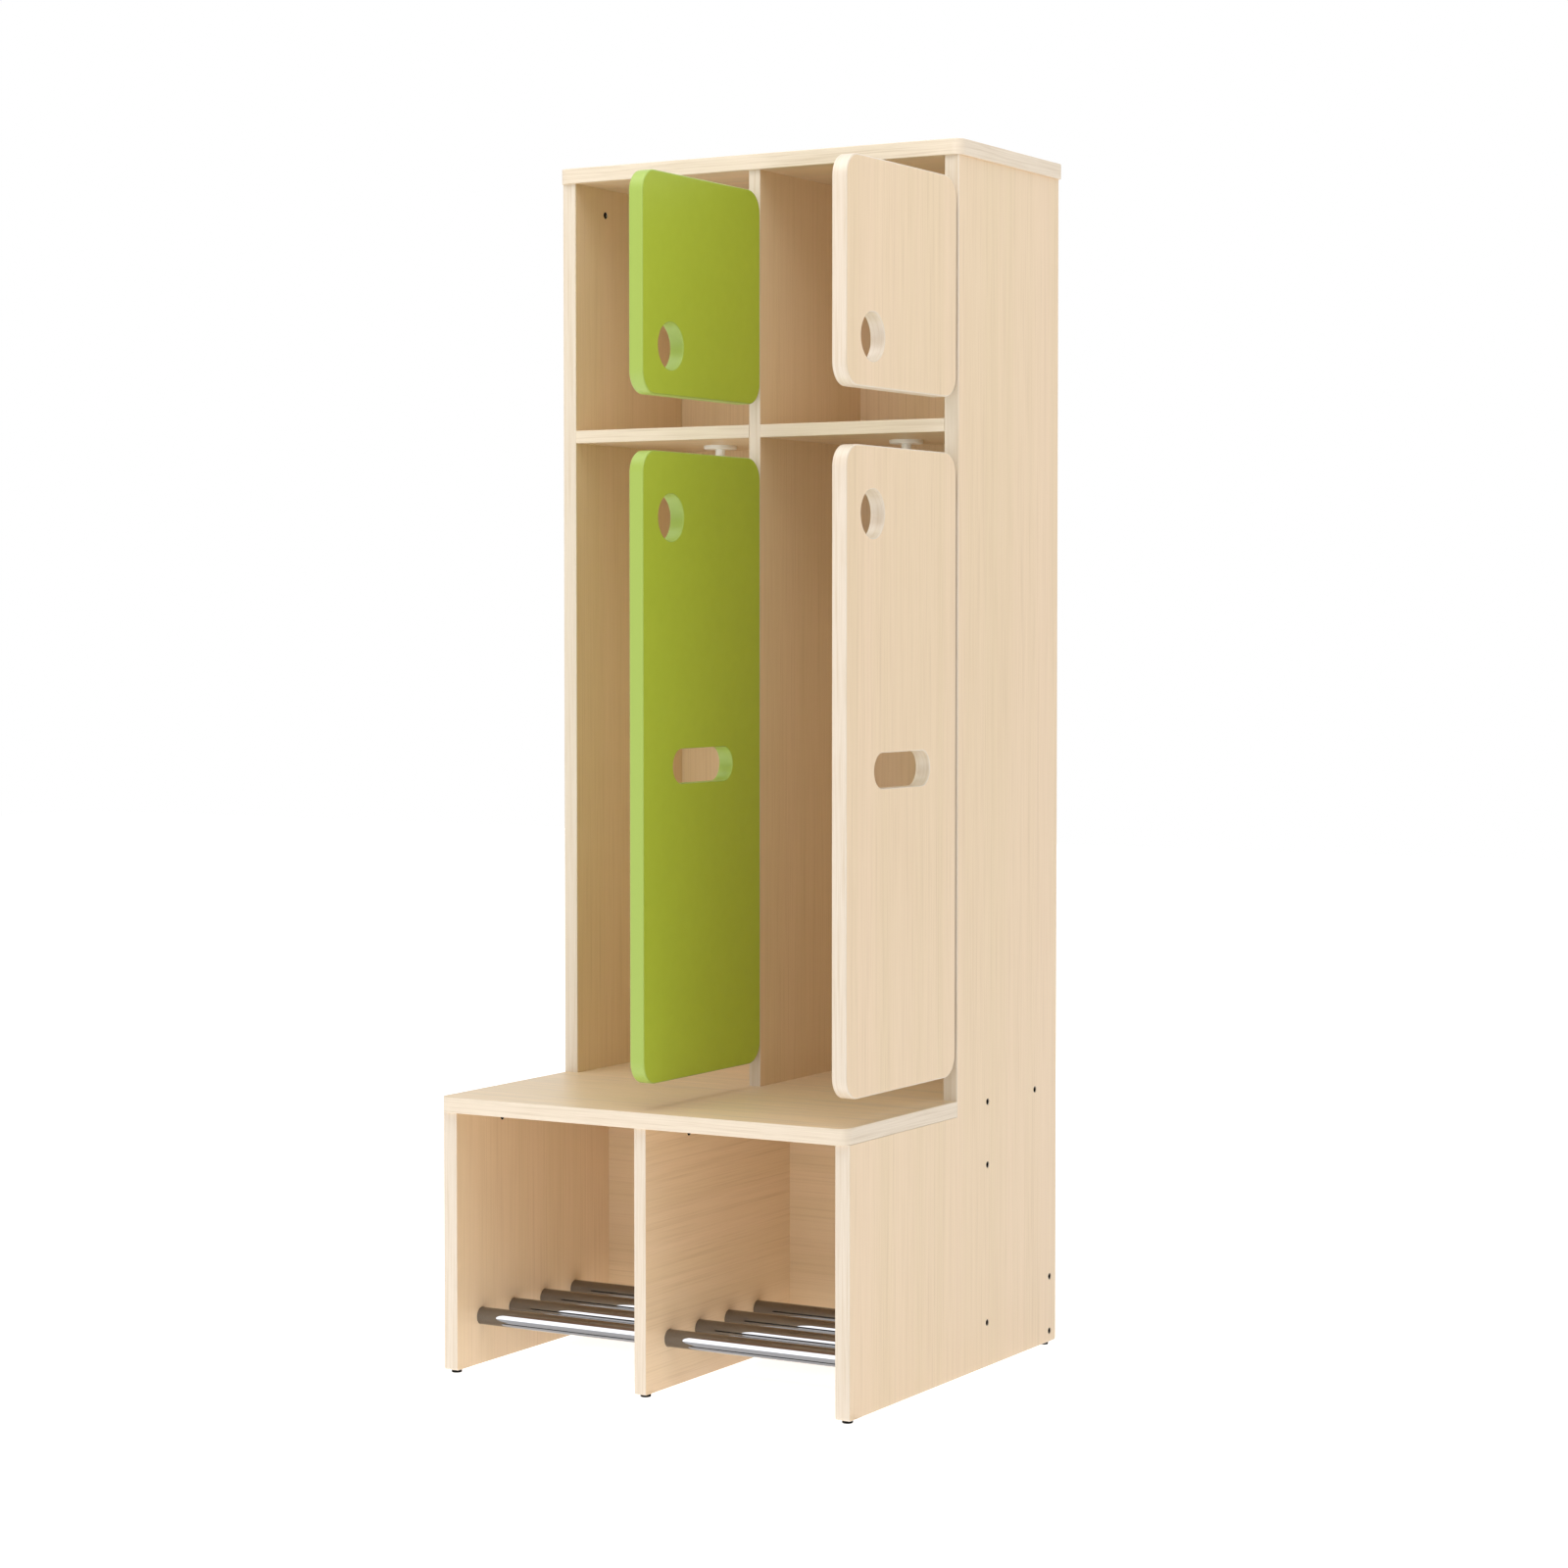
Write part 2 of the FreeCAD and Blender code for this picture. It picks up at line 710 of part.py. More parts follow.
def shelf(side):
    """A shelf between the divider and one side panel."""
    near = min(side * divider_half, side * side_inner)
    far = max(side * divider_half, side * side_inner)
    solid = box(near, far, up_front, back_front, shelf_under, shelf_height)

    def is_front_edge(e):
        return flat_on(e, "y", [up_front]) and not flat_on(e, "x", [near, far])

    solid = soften(solid, edge_round, is_front_edge)
    return cut_all(solid, dowel_bores() + [hook_stud(p, fit_clearance) for p in hook_places()])


def wardrobe_back():
    """The thin panel that stands in the grooves behind both bays."""
    reach = side_inner + groove_depth - groove_clearance
    return box(-reach, reach, back_front, back_rear, seat_height - groove_depth,
               top_under + groove_depth - groove_clearance)


def shoe_back():
    """The board that closes both shoe bays at the back."""
    solid = box(-side_inner, side_inner, shoe_back_front, shoe_back_rear, panel_bottom, bench_under)
    tools = [long_screw_bore(seat, d) for side in (-1, 1) for seat, d in side_screw_places(side)]
    return cut_all(solid, tools + [long_screw_bore(seat, d) for seat, d in divider_screw_places()])


def rear_rail():
    """The low rail between the sides at the back."""
    rail_front = rail_rear - thin_board
    rail_top = panel_bottom + rail_height
    solid = box(-side_inner, side_inner, rail_front, rail_rear, panel_bottom, rail_top)
    tools = [long_screw_bore(seat, d) for side in (-1, 1) for seat, d in side_screw_places(side)]
    return cut_all(solid, tools)


def write_carcass():
    """Write the boards, bars, hooks, feet and fasteners of the carcass."""
    write("left_side_panel", [side_panel(-1)])
    write("right_side_panel", [side_panel(1)])
    write("top_board", [top_board()])
    write("bench_board", [bench_board()])
    write("upper_divider", [upper_divider()])
    write("lower_divider", [lower_divider()])
    write("left_shelf", [shelf(-1)])
    write("right_shelf", [shelf(1)])
    write("wardrobe_back_panel", [wardrobe_back()])
    write("shoe_bay_back_panel", [shoe_back()])
    write("rear_bottom_rail", [rear_rail()])
    for i, (y, z) in enumerate(bar_places()):
        write("shoe_bar_" + str(i + 1), [shoe_bar(y, z)])
    write("left_side_screws", [long_screw(seat, d) for seat, d in side_screw_places(-1)])
    write("right_side_screws", [long_screw(seat, d) for seat, d in side_screw_places(1)])
    write("divider_screws", [long_screw(seat, d) for seat, d in divider_screw_places()])
    write("barrel_nuts", [barrel_nut(p, way) for p, way in top_joint_places() + bench_joint_places()])
    write("top_joint_bolts", [joint_bolt(p, way, top_nut_drop) for p, way in top_joint_places()])
    write("bench_joint_bolts", [joint_bolt(p, way, bench_nut_drop) for p, way in bench_joint_places()])
    write("dowels", [dowel(p, d, 0) for p, d in dowel_places()])
    write("shelf_through_dowels", [through_dowel(y, 0) for y in shelf_dowel_backs()])
    for name, place in zip(("left_coat_hook", "right_coat_hook"), hook_places()):
        write(name, [coat_hook(place)])
    write("hook_studs", [hook_stud(p, 0) for p in hook_places()])
    write("foot_glides", [glide(x, y) for x, y in glide_places()])


def write_doors():
    """Write each door with its hinges."""
    for name, face, sill, head, inset, finger_z in doors():
        axes = hinge_places(face, sill, head, inset)
        slotted = name.startswith("lower")
        write(name + "_door", [door_panel(face, sill, head, inset, finger_z, slotted)])
        write(name + "_hinge_cups", [hinge_cup(a) for a in axes])
        write(name + "_cup_screws", [cup_screw(p) for a in axes for p in cup_screw_places(a)])
        write(name + "_hinge_arms", [hinge_arm(a, face) for a in axes])
        write(name + "_hinge_plates", [hinge_plate(a, face) for a in axes])
        write(name + "_plate_screws", [plate_screw(p) for a in axes for p in plate_screw_places(a, face)])
        print(name, "axis", [round(v, 3) for v in axes[0]])


os.makedirs("parts", exist_ok=True)
write_carcass()
write_doors()
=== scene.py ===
# %% [markdown]
# # A cloakroom bench for small children
# The unit is a wardrobe with two bays on a bench with two shoe bays. Every board, door, tube and hinge
# comes from the CAD model at its real size, so this file adds what CAD can't: light maple with its pale
# edge band, green lacquer, chrome, moulded plastic, cross-head screws, a studio and the camera.

# %% Load the boards and fittings
import json
import math

import bmesh
import bpy
from mathutils import Euler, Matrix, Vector


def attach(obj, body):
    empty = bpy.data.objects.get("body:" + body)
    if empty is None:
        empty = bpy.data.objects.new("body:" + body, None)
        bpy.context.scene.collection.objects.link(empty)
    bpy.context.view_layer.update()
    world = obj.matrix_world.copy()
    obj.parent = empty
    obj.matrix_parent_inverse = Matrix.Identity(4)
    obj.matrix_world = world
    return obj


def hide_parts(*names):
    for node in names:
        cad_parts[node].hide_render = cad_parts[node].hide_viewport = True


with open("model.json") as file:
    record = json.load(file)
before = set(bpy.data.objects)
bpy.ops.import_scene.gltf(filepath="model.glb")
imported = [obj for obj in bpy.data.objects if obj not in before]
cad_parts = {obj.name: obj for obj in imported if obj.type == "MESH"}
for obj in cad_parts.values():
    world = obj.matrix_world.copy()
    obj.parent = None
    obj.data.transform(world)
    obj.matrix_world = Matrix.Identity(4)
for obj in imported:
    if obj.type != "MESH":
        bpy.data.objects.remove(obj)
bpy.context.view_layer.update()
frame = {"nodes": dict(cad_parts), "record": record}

nodes = frame["nodes"]
scene = bpy.context.scene
MM = 0.001
WHITE = (1, 1, 1, 1)

# %% [markdown]
# ## Camera
# The picture is taken from the front right, a little above the middle of the unit, with a long lens, so
# the upright edges stay nearly parallel. A lens can be shifted to keep them exactly parallel, but a large
# shift pushes the unit out of the frame from other sides. So the shift stays tiny, and the camera looks
# down by two degrees instead.

# %% Camera
CAMERA_PLACE = (2.0574, -3.4714, 0.8480)
CAMERA_YAW = math.radians(30.166)
CAMERA_PITCH = math.radians(-2.134)
LENS_MM = 79.96
LENS_SHIFT = -0.015
SENSOR_MM = 36
FAR_CLIP = 60

camera_data = bpy.data.cameras.new("photo_camera")
camera_data.lens = LENS_MM
camera_data.sensor_width = SENSOR_MM
camera_data.shift_y = LENS_SHIFT
camera_data.clip_end = FAR_CLIP
camera = bpy.data.objects.new("photo_camera", camera_data)
camera.location = CAMERA_PLACE
camera.rotation_euler = Euler((math.pi / 2 + CAMERA_PITCH, 0, CAMERA_YAW))
scene.collection.objects.link(camera)
scene.camera = camera
scene.view_settings.view_transform = "Standard"
print("camera at", CAMERA_PLACE, "lens", LENS_MM, "mm")

# %% [markdown]
# ## Node helpers
# Materials, the world and the screws are all node trees. A few short helpers keep them readable: one adds
# a node and sets its values by socket name, one does a sum, one mixes two colours, one makes a shader group
# with its inputs and outputs, and one starts a material with its Principled shader.

# %% Node helpers
def feed(tree, socket, value):
    if isinstance(value, bpy.types.NodeSocket):
        tree.links.new(value, socket)
    else:
        socket.default_value = value


def add_node(tree, kind, inputs=None, **settings):
    node = tree.nodes.new(kind)
    for name, value in settings.items():
        setattr(node, name, value)
    for name, value in (inputs or {}).items():
        feed(tree, node.inputs[name], value)
    return node


def sum_node(tree, operation, *values, clamp=False):
    node = add_node(tree, "ShaderNodeMath", operation=operation, use_clamp=clamp)
    for socket, value in zip(node.inputs, values):
        feed(tree, socket, value)
    return node.outputs[0]


def mix_colour(tree, share, first, second):
    node = add_node(tree, "ShaderNodeMix", data_type="RGBA")
    for index, value in ((0, share), (6, first), (7, second)):
        feed(tree, node.inputs[index], value)
    return node.outputs[2]


def shader_group(name, inputs, outputs):
    tree = bpy.data.node_groups.new(name, "ShaderNodeTree")
    for label, kind, value in inputs:
        socket = tree.interface.new_socket(name=label, in_out="INPUT", socket_type=kind)
        if value is not None:
            socket.default_value = value
    for label, kind in outputs:
        tree.interface.new_socket(name=label, in_out="OUTPUT", socket_type=kind)
    return tree, tree.nodes.new("NodeGroupInput"), tree.nodes.new("NodeGroupOutput")


def place_group(tree, group, inputs):
    node = add_node(tree, "ShaderNodeGroup", node_tree=group)
    for name, value in inputs.items():
        feed(tree, node.inputs[name], value)
    return node


def srgb(red, green, blue):
    def linear(v):
        v = v / 255
        return v / 12.92 if v <= 0.04045 else ((v + 0.055) / 1.055) ** 2.4
    return (linear(red), linear(green), linear(blue), 1.0)


def new_material(name, colour, roughness, metallic=0.0):
    material = bpy.data.materials.new(name)
    material.use_nodes = True
    shader = material.node_tree.nodes["Principled BSDF"]
    shader.inputs["Base Color"].default_value = colour
    shader.inputs["Roughness"].default_value = roughness
    shader.inputs["Metallic"].default_value = metallic
    material.diffuse_color = colour
    return material, material.node_tree, shader


def seen_directly(tree):
    path = add_node(tree, "ShaderNodeLightPath")
    mirrored = sum_node(tree, "MAXIMUM", path.outputs["Is Glossy Ray"], path.outputs["Is Transmission Ray"])
    return sum_node(tree, "MAXIMUM", path.outputs["Is Camera Ray"], mirrored)


print("node helpers ready")

# %% [markdown]
# ## Studio
# The photograph has a pure white ground and almost no shadow: light comes from all round, and most of all from
# above. The world gives that even light and looks white to the camera and in the chrome. A large soft lamp hangs
# over the bench, and weak ones fill in from the front, from the right rear and from high on the right. The floor
# is a pale shooting table, lit from below, which fills the shoe bays with light. A strip of it on the right is
# dimmed, because it would bleach the foot of the side panel. To the camera and in mirrors it looks even and a
# little brighter, so that it meets the white background without an edge.

# %% World light
WORLD_LIGHT, GROUND_WHITE = 0.45, 1.0
world = bpy.data.worlds.new("white_studio")
world.use_nodes = True
scene.world = world
tree = world.node_tree
tree.nodes.clear()
light = add_node(tree, "ShaderNodeBackground", {"Color": WHITE, "Strength": WORLD_LIGHT})
ground = add_node(tree, "ShaderNodeBackground", {"Color": WHITE, "Strength": GROUND_WHITE})
both = add_node(tree, "ShaderNodeMixShader", {"Fac": seen_directly(tree)})
tree.links.new(light.outputs[0], both.inputs[1])
tree.links.new(ground.outputs[0], both.inputs[2])
add_node(tree, "ShaderNodeOutputWorld", {"Surface": both.outputs[0]})
print("world light", WORLD_LIGHT)

# %% Floor
FLOOR_HALF = 9.0
FLOOR_GREY, FLOOR_ROUGHNESS = (0.9, 0.9, 0.9, 1), 0.9
TABLE_GLOW = 0.74
CAMERA_GLOW = 0.80
STRIP_GLOW, STRIP_MIDDLE, STRIP_HALF, STRIP_END = 0.34, 0.79, 0.5, 0.54
floor_mesh = bpy.data.meshes.new("floor")
floor_mesh.from_pydata([(-FLOOR_HALF, -FLOOR_HALF, 0), (FLOOR_HALF, -FLOOR_HALF, 0),
                        (FLOOR_HALF, FLOOR_HALF, 0), (-FLOOR_HALF, FLOOR_HALF, 0)], [], [(0, 1, 2, 3)])
floor = bpy.data.objects.new("floor", floor_mesh)
scene.collection.objects.link(floor)
floor_paint, tree, shader = new_material("pale_floor", FLOOR_GREY, FLOOR_ROUGHNESS)
shader.inputs["Specular IOR Level"].default_value = 0.0
shader.inputs["Emission Color"].default_value = WHITE
place = add_node(tree, "ShaderNodeTexCoord")
across = add_node(tree, "ShaderNodeSeparateXYZ", {"Vector": place.outputs["Object"]})
away = sum_node(tree, "ABSOLUTE", sum_node(tree, "SUBTRACT", across.outputs["X"], STRIP_MIDDLE))
lit = add_node(tree, "ShaderNodeMapRange", {"Value": away, "From Min": STRIP_HALF, "From Max": STRIP_END,
                                            "To Min": STRIP_GLOW, "To Max": TABLE_GLOW})
glow = add_node(tree, "ShaderNodeMix",
                {"Factor": seen_directly(tree), "A": lit.outputs["Result"], "B": CAMERA_GLOW}, data_type="FLOAT")
tree.links.new(glow.outputs["Result"], shader.inputs["Emission Strength"])
floor.data.materials.append(floor_paint)
print("floor", 2 * FLOOR_HALF, "m square")

# %% Soft lamps
LAMPS = {
    "front_lamp": ((1.0, -4.4, 0.9), 2.4, 15),
    "rear_lamp": ((2.6, 2.8, 2.6), 3.2, 8),
    "side_lamp": ((2.2, -0.7, 2.7), 1.6, 6),
    "top_lamp": ((0.0, -1.2, 3.4), 3.2, 68),
}
UNIT_MIDDLE = Vector((0, 0, 0.7))


def soft_lamp(name, place, size, power, aim=UNIT_MIDDLE):
    data = bpy.data.lights.new(name, "AREA")
    data.shape = "DISK"
    data.size = size
    data.energy = power
    lamp = bpy.data.objects.new(name, data)
    lamp.location = place
    lamp.rotation_euler = (aim - Vector(place)).to_track_quat("-Z", "Y").to_euler()
    lamp.visible_camera = False
    scene.collection.objects.link(lamp)
    return lamp


for name, (place, size, power) in LAMPS.items():
    soft_lamp(name, place, size, power)
print("lamps:", sorted(LAMPS))

# %% [markdown]
# ## Which part of a board is edge band
# The boards are chipboard with a printed maple face and a paler plastic band glued round the edges. A shader
# can tell them apart by the direction of the surface in the board's own space: where it looks straight along
# the board's thickness it is face, and elsewhere, from the start of the rounded corner, it is band. The Normal
# output of Texture Coordinate stays with the board when a door swings.

# %% Face or edge group
FACE_FROM, FACE_TO = 0.955, 0.995
edge_group, inside, outside = shader_group(
    "board_face_or_edge", [("Thickness axis", "NodeSocketVector", (1, 0, 0))], [("Face", "NodeSocketFloat")])
place = add_node(edge_group, "ShaderNodeTexCoord")
facing = add_node(edge_group, "ShaderNodeVectorMath",
                  {0: place.outputs["Normal"], 1: inside.outputs["Thickness axis"]}, operation="DOT_PRODUCT")
facing = sum_node(edge_group, "ABSOLUTE", facing.outputs["Value"])
face = add_node(edge_group, "ShaderNodeMapRange", {"Value": facing, "From Min": FACE_FROM, "From Max": FACE_TO})
edge_group.links.new(face.outputs["Result"], outside.inputs["Face"])
print("group", edge_group.name)

# %% [markdown]
# ## Maple figure
# The maple print has four scales. Broad bands, some 40 mm wide, drift between a pinkish and a yellowish tone.
# Soft streaks of about 10 mm darken parts of them. Thin lines, a millimetre or two wide, start and stop along
# the grain, and hair-fine pores break up the rest. A Wave texture would give lines at an even spacing, which
# looks like corduroy, so all four are noise, in a space that each material has squeezed along its own grain.
# A slow drift bends the lines, so that they wander like real growth rings.

# %% Maple figure group
DRIFT_SCALE, DRIFT_DETAIL, DRIFT_REACH = 7, 1.0, 0.022
FIGURE_ROUGHNESS = 0.6
# Each row is noise scale, detail, and the noise values that give none and all of the figure.
FIGURE = {
    "Band": (24, 2.0, 0.32, 0.68),
    "Streak": (75, 3.0, 0.50, 0.74),
    "Line": (380, 3.0, 0.50, 0.78),
    "Pore": (800, 1.0, 0.35, 0.70),
}
maple_group, inside, outside = shader_group(
    "maple_figure", [("Place", "NodeSocketVector", None)],
    [(name, "NodeSocketFloat") for name in FIGURE])
bend = add_node(maple_group, "ShaderNodeTexNoise",
                {"Vector": inside.outputs["Place"], "Scale": DRIFT_SCALE, "Detail": DRIFT_DETAIL})
bend = add_node(maple_group, "ShaderNodeVectorMath",
                {0: bend.outputs["Color"], "Scale": DRIFT_REACH}, operation="SCALE")
spot = add_node(maple_group, "ShaderNodeVectorMath",
                {0: inside.outputs["Place"], 1: bend.outputs[0]}, operation="ADD")
for name, (scale, detail, low, high) in FIGURE.items():
    noise = add_node(maple_group, "ShaderNodeTexNoise",
                     {"Vector": spot.outputs[0], "Scale": scale, "Detail": detail, "Roughness": FIGURE_ROUGHNESS})
    spread = add_node(maple_group, "ShaderNodeMapRange",
                      {"Value": noise.outputs["Fac"], "From Min": low, "From Max": high})
    maple_group.links.new(spread.outputs["Result"], outside.inputs[name])
print("group", maple_group.name, "with", sorted(FIGURE))

# %% [markdown]
# ## Maple boards
# Upright boards have their grain along Z, level boards along X, and the lower divider along Y. Each material
# squeezes Object coordinates along its grain with a Mapping node, asks the figure group for bands, streaks, lines
# and pores, and lays the paler band over the edges. The edge band has its own streaks, which run along the edge
# because only the thickness of the board stays at full scale. A thin clear coat gives the faces their sheen.

# %% Maple materials
MAPLE_PINK = srgb(235, 208, 174)
MAPLE_STRAW = srgb(230, 205, 167)
MAPLE_LINE = srgb(203, 174, 134)
LEVEL_LINE = srgb(206, 187, 163)
BAND_PALE = srgb(226, 212, 194)
LEVEL_BAND = srgb(232, 217, 196)
BAND_DEEP = srgb(213, 195, 170)
GRAIN_SQUEEZE, LEVEL_SQUEEZE = 0.014, 0.045
BAND_SQUEEZE = 0.02
PORE_SHARE, WORN_SHARE = 1 / 3, 0.4
MAPLE_ROUGHNESS, PORE_ROUGHNESS = 0.42, 0.08
PORE_BUMP, PORE_DEPTH = 0.08, 0.4 * MM
COAT_ROUGHNESS = 0.3


def maple_material(name, grain, thickness, line_share, streak_share, band_share=0.0, line=MAPLE_LINE,
                   squeeze=GRAIN_SQUEEZE, pale=BAND_PALE, coat=0.2):
    material, tree, shader = new_material(name, MAPLE_PINK, MAPLE_ROUGHNESS)
    place = add_node(tree, "ShaderNodeTexCoord")
    along = [squeeze if axis == grain else 1.0 for axis in "XYZ"]
    across = [1.0 if axis == thickness else BAND_SQUEEZE for axis in "XYZ"]
    spot = add_node(tree, "ShaderNodeMapping", {"Vector": place.outputs["Object"], "Scale": along})
    figure = place_group(tree, maple_group, {"Place": spot.outputs[0]})
    wood = mix_colour(tree, figure.outputs["Band"], MAPLE_PINK, MAPLE_STRAW)
    dark = sum_node(tree, "MULTIPLY", figure.outputs["Streak"], streak_share)
    for scale, share in (("Band", band_share), ("Line", line_share), ("Pore", line_share * PORE_SHARE)):
        dark = sum_node(tree, "MULTIPLY_ADD", figure.outputs[scale], share, dark)
    wood = mix_colour(tree, dark, wood, line)
    rim = add_node(tree, "ShaderNodeMapping", {"Vector": place.outputs["Object"], "Scale": across})
    streaks = place_group(tree, maple_group, {"Place": rim.outputs[0]})
    worn = sum_node(tree, "MULTIPLY_ADD", streaks.outputs["Pore"], WORN_SHARE, streaks.outputs["Line"], clamp=True)
    band = mix_colour(tree, worn, pale, BAND_DEEP)
    split = place_group(tree, edge_group, {"Thickness axis": [1.0 if axis == thickness else 0.0 for axis in "XYZ"]})
    tree.links.new(mix_colour(tree, split.outputs["Face"], band, wood), shader.inputs["Base Color"])
    rough = sum_node(tree, "MULTIPLY_ADD", figure.outputs["Pore"], PORE_ROUGHNESS, MAPLE_ROUGHNESS)
    tree.links.new(rough, shader.inputs["Roughness"])
    bump = add_node(tree, "ShaderNodeBump",
                    {"Strength": PORE_BUMP, "Distance": PORE_DEPTH, "Height": figure.outputs["Pore"]})
    tree.links.new(bump.outputs["Normal"], shader.inputs["Normal"])
    shader.inputs["Coat Weight"].default_value = coat
    shader.inputs["Coat Roughness"].default_value = COAT_ROUGHNESS
    return material


finishes = {
    "maple_upright": maple_material("maple_upright_grain", "Z", "X", 0.40, 0.12, coat=0.45),
    "maple_level": maple_material("maple_level_grain", "X", "Z", 0.45, 0.60, band_share=0.2, line=LEVEL_LINE,
                                  squeeze=LEVEL_SQUEEZE, pale=LEVEL_BAND),
    "maple_lengthwise": maple_material("maple_deep_grain", "Y", "X", 0.50, 0.20),
    "maple_across": maple_material("maple_cross_grain", "X", "Y", 0.40, 0.15),
    "maple_back": maple_material("maple_back_panel", "Z", "Y", 0.45, 0.12),
}
print("maple finishes:", sorted(finishes))

# %% [markdown]
# ## Green lacquer, chrome, plastic and steel
# The green doors are sprayed: an even colour with a faint orange peel and a satin clear coat. The tubes are
# polished chrome with hair lines from handling. Hooks are white moulded plastic, feet black plastic, and the
# fasteners blackened, zinc or nickel plated steel. One small group gives them all a fine and a broad wander,
# because no real surface has one colour and one gloss.

# %% Surface wander group
BROAD_SHARE, WANDER_DETAIL = 0.08, 2.0
wander_group, inside, outside = shader_group(
    "surface_wander", [("Scale", "NodeSocketFloat", 100.0), ("Stretch", "NodeSocketVector", (1, 1, 1))],
    [("Fine", "NodeSocketFloat"), ("Broad", "NodeSocketFloat")])
place = add_node(wander_group, "ShaderNodeTexCoord")
spot = add_node(wander_group, "ShaderNodeVectorMath",
                {0: place.outputs["Object"], 1: inside.outputs["Stretch"]}, operation="MULTIPLY")
broad_scale = sum_node(wander_group, "MULTIPLY", inside.outputs["Scale"], BROAD_SHARE)
for output, scale in (("Fine", inside.outputs["Scale"]), ("Broad", broad_scale)):
    noise = add_node(wander_group, "ShaderNodeTexNoise",
                     {"Vector": spot.outputs[0], "Scale": scale, "Detail": WANDER_DETAIL})
    wander_group.links.new(noise.outputs["Fac"], outside.inputs[output])
print("group", wander_group.name)

# %% Plain finishes with their own wander
PEEL_DEPTH = 0.2 * MM


def wandering_material(name, dark, light, roughness, metallic, scale, stretch=(1, 1, 1), bump=0.0, spread=0.08,
                       gloss=0.5):
    material, tree, shader = new_material(name, light, roughness, metallic)
    shader.inputs["Specular IOR Level"].default_value = gloss
    wander = place_group(tree, wander_group, {"Scale": scale, "Stretch": stretch})
    tree.links.new(mix_colour(tree, wander.outputs["Broad"], dark, light), shader.inputs["Base Color"])
    rough = sum_node(tree, "MULTIPLY_ADD", wander.outputs["Fine"], spread, roughness - spread / 2)
    tree.links.new(rough, shader.inputs["Roughness"])
    if bump:
        node = add_node(tree, "ShaderNodeBump",
                        {"Strength": bump, "Distance": PEEL_DEPTH, "Height": wander.outputs["Fine"]})
        tree.links.new(node.outputs["Normal"], shader.inputs["Normal"])
    return material


finishes["green_lacquer"] = wandering_material(
    "green_satin_lacquer", srgb(173, 195, 56), srgb(179, 201, 62), 0.42, 0.0, 900, bump=0.05)
finishes["chrome_tube"] = wandering_material(
    "polished_chrome", (0.21, 0.213, 0.225, 1), (0.25, 0.253, 0.265, 1), 0.025, 1.0, 600,
    stretch=(0.02, 1, 1), spread=0.02)
finishes["dark_steel"] = wandering_material(
    "blackened_steel", srgb(12, 10, 9), srgb(22, 20, 18), 0.6, 0.0, 900, gloss=0.15)
finishes["zinc_steel"] = wandering_material(
    "zinc_plate", (0.45, 0.45, 0.46, 1), (0.58, 0.58, 0.59, 1), 0.35, 1.0, 700)
finishes["nickel_steel"] = wandering_material(
    "nickel_plate", (0.52, 0.51, 0.49, 1), (0.64, 0.63, 0.61, 1), 0.26, 1.0, 800, spread=0.1)
finishes["beech"] = wandering_material(
    "raw_beech", srgb(200, 162, 118), srgb(222, 186, 142), 0.65, 0.0, 500, stretch=(0.1, 0.1, 0.1))
finishes["white_plastic"] = wandering_material(
    "white_moulded_plastic", srgb(246, 245, 242), srgb(250, 249, 246), 0.34, 0.0, 900, bump=0.04)
finishes["black_plastic"] = wandering_material(
    "black_moulded_plastic", srgb(14, 13, 12), srgb(24, 23, 22), 0.6, 0.0, 900, bump=0.1, gloss=0.12)
print("finishes:", len(finishes))

# %% Clear coat, and paler edges painted as sheen, on the green doors
# The paler, less saturated edge colour is a painted sheen: it stands in for the white gloss that front light puts
# on the door edges.
GREEN_EDGE_SHEEN = srgb(161, 184, 82)
GREEN_COAT = 0.1
tree = finishes["green_lacquer"].node_tree
shader = tree.nodes["Principled BSDF"]
split = place_group(tree, edge_group, {"Thickness axis": (1, 0, 0)})
sprayed = shader.inputs["Base Color"].links[0].from_socket
tree.links.new(mix_colour(tree, split.outputs["Face"], GREEN_EDGE_SHEEN, sprayed), shader.inputs["Base Color"])
shader.inputs["Coat Weight"].default_value = GREEN_COAT
shader.inputs["Coat Roughness"].default_value = COAT_ROUGHNESS
print("green doors: coat", GREEN_COAT)

# %% Put the finishes on the CAD nodes
slot_of = {row["node"]: row["material_slot"] for row in frame["record"]["subparts"]}
for name, node in nodes.items():
    node.data.materials.clear()
    node.data.materials.append(finishes[slot_of[name]])
print("dressed nodes:", len(slot_of))

# %% [markdown]
# ## What the chrome sees
# Chrome has no colour of its own, so its look is made by what stands in front of it. A low soft box on the table
# gives each tube its white streak. It is linked to the tubes, so it lights nothing else. The two cards are painted
# reflections: a narrow black card under the tubes paints the thin dark line near their lower edge, and a brown card
# that hangs in front of the bench paints a dark, warm reflection on their tops. The cards show in mirrors alone, so
# the camera never sees them.

# %% Soft box and painted reflection cards
STREAK_PLACE = Vector((-0.25, -0.57, 0.19))
STREAK_WIDTH, STREAK_HEIGHT, STREAK_POWER = 0.9, 0.38, 4.2
# Painted reflections in the chrome: each card is a (y, z) pair at its front and back edge, and a colour.
PAINTED_REFLECTION_CARDS = {
    "black_card": ((-0.232, 0.002), (-0.217, 0.002), (0.01, 0.01, 0.01, 1)),
    "brown_card": ((-1.75, 1.25), (-0.45, 1.35), (0.45, 0.26, 0.15, 1)),
}
CARD_LEFT, CARD_RIGHT, CARD_ROUGHNESS = -2.4, 1.2, 0.9

